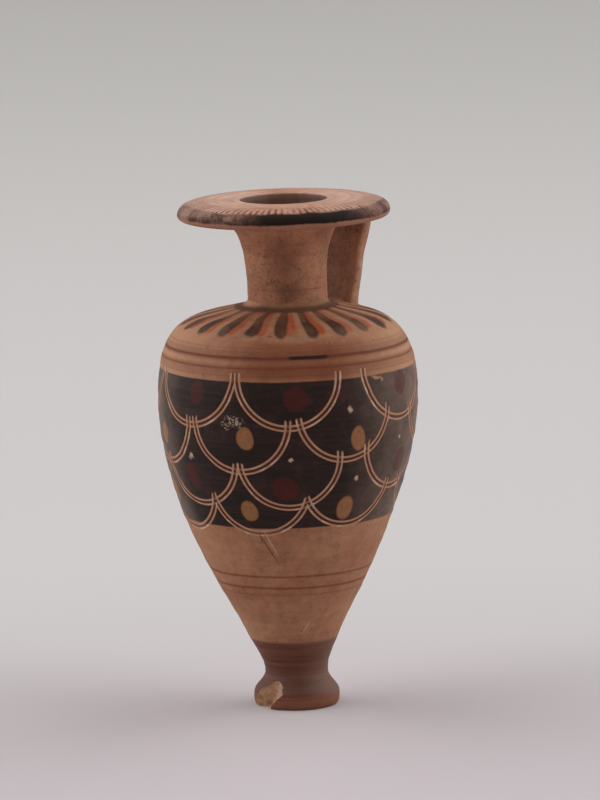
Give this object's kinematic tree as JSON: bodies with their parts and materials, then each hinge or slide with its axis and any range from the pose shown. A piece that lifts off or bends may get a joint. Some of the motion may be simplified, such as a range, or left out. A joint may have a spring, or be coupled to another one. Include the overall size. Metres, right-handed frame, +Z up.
{
  "type": "aryballos",
  "caption": "Small footed ceramic oil flask with a pear-shaped hollow body, wide flat mouth plate and one strap handle, painted with a band of incised scales.",
  "frame": {"origin": "centre of the resting face under the foot", "axes": "+Z up through the mouth, handle at +Y"},
  "size_m": [0.061, 0.061, 0.12],
  "materials": {
    "foot_slip": "brushed dark slip on fired clay",
    "body_slip": "dark slip with incised lines and added red and buff, on fired clay",
    "neck_clay": "bare fired clay, matt",
    "plate_clay": "pale fired clay with worn painted dashes",
    "handle_clay": "red-brown fired clay, matt"
  },
  "bodies": {
    "root": {"foot": "foot_slip", "foot_luting": "foot_slip", "body": "body_slip", "neck_luting": "body_slip", "neck": "neck_clay", "plate_luting": "neck_clay", "mouth_plate": "plate_clay", "handle_head_luting": "handle_clay", "handle_root_luting": "handle_clay", "strap_handle": "handle_clay"}
  },
  "joints": []
}
